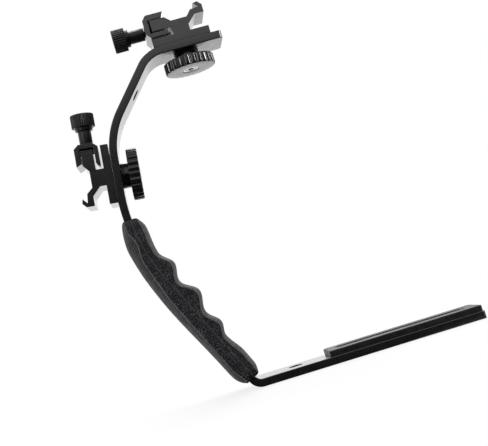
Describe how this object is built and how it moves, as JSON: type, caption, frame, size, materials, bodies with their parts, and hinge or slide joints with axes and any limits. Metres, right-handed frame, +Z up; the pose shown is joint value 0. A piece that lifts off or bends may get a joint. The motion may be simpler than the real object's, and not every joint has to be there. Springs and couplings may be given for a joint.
{
  "type": "camera flash bracket",
  "caption": "Bent flat-bar bracket with a slotted camera arm and pad, a contoured hand grip, and clamping accessory shoes that swivel on studs and lock with hand wheels.",
  "frame": {"origin": "on the underside of the base arm, on the bar's centre plane, on the land between the accessory hole and the camera slot", "axes": "+Z up out of the base arm towards the camera, +X along the base arm towards its free end, +Y across the bar, away from the side that the picture shows"},
  "size_m": [0.1973, 0.0316, 0.2153],
  "materials": {
    "painted_bar": "satin black powder coat over aluminium flat bar",
    "pad_rubber": "matt black rubber",
    "grip_rubber": "charcoal soft-touch moulding with a fine leather-like grain",
    "anodised_shoe": "black anodised extrusion, satin",
    "black_screw": "turned steel, black oxide, slightly glossy",
    "bright_steel": "plated steel",
    "gloss_plastic": "glossy black moulded plastic",
    "nickel_plate": "turned brass, nickel-plated"
  },
  "bodies": {
    "frame": {"frame_bar": "painted_bar", "base_pad": "pad_rubber", "grip_finger_half": "grip_rubber", "grip_palm_half": "grip_rubber", "grip_screw_lower": "black_screw", "grip_screw_upper": "black_screw"},
    "upper_shoe": {"upper_shoe_body": "anodised_shoe", "upper_mounting_stud": "bright_steel"},
    "upper_jaw": {"upper_clamp_jaw": "anodised_shoe"},
    "upper_screw": {"upper_clamp_screw": "black_screw", "upper_clamp_knob": "black_screw", "upper_retaining_clip": "bright_steel"},
    "upper_washer": {"upper_lock_washer": "black_screw"},
    "upper_wheel": {"upper_lock_wheel": "gloss_plastic", "upper_wheel_insert": "nickel_plate"},
    "lower_shoe": {"lower_shoe_body": "anodised_shoe", "lower_mounting_stud": "bright_steel"},
    "lower_jaw": {"lower_clamp_jaw": "anodised_shoe"},
    "lower_screw": {"lower_clamp_screw": "black_screw", "lower_clamp_knob": "black_screw", "lower_retaining_clip": "bright_steel"},
    "lower_washer": {"lower_lock_washer": "black_screw"},
    "lower_wheel": {"lower_lock_wheel": "gloss_plastic", "lower_wheel_insert": "nickel_plate"}
  },
  "joints": [
    {"name": "upper_shoe_swivel", "type": "hinge", "parent": "frame", "child": "upper_shoe", "pos_m": [-0.02199, 0, 0.19622], "axis": [0, 0, 1], "continuous": true},
    {"name": "upper_jaw_slide", "type": "slide", "parent": "upper_shoe", "child": "upper_jaw", "axis": [-1, 0, 0], "range_m": [-0.0007, 0.0028]},
    {"name": "upper_screw_turn", "type": "hinge", "parent": "upper_jaw", "child": "upper_screw", "pos_m": [-0.04159, 0, 0.20817], "axis": [-1, 0, 0], "range_deg": [-360, 1440]},
    {"name": "upper_washer_slide", "type": "slide", "parent": "upper_shoe", "child": "upper_washer", "axis": [0, 0, -1], "range_m": [0, 0.00382]},
    {"name": "upper_wheel_turn", "type": "hinge", "parent": "upper_washer", "child": "upper_wheel", "pos_m": [-0.02199, 0, 0.19002], "axis": [0, 0, -1], "range_deg": [0, 1080]},
    {"name": "lower_shoe_swivel", "type": "hinge", "parent": "frame", "child": "lower_shoe", "pos_m": [-0.08053, 0, 0.13399], "axis": [-0.9947, 0, 0.1028], "continuous": true},
    {"name": "lower_jaw_slide", "type": "slide", "parent": "lower_shoe", "child": "lower_jaw", "axis": [0.1028, 0, 0.9947], "range_m": [-0.0007, 0.0028]},
    {"name": "lower_screw_turn", "type": "hinge", "parent": "lower_jaw", "child": "lower_screw", "pos_m": [-0.09041, 0, 0.15472], "axis": [0.1028, 0, 0.9947], "range_deg": [-360, 1440]},
    {"name": "lower_washer_slide", "type": "slide", "parent": "lower_shoe", "child": "lower_washer", "axis": [0.9947, 0, -0.1028], "range_m": [0, 0.00382]},
    {"name": "lower_wheel_turn", "type": "hinge", "parent": "lower_washer", "child": "lower_wheel", "pos_m": [-0.07437, 0, 0.13336], "axis": [0.9947, 0, -0.1028], "range_deg": [0, 1080]}
  ],
  "couplings": [
    {"joint": "upper_jaw_slide", "follows": "upper_screw_turn", "m_per_rad": 0.0001114},
    {"joint": "upper_washer_slide", "follows": "upper_wheel_turn", "m_per_rad": 0.00020212},
    {"joint": "lower_jaw_slide", "follows": "lower_screw_turn", "m_per_rad": 0.0001114},
    {"joint": "lower_washer_slide", "follows": "lower_wheel_turn", "m_per_rad": 0.00020212}
  ]
}
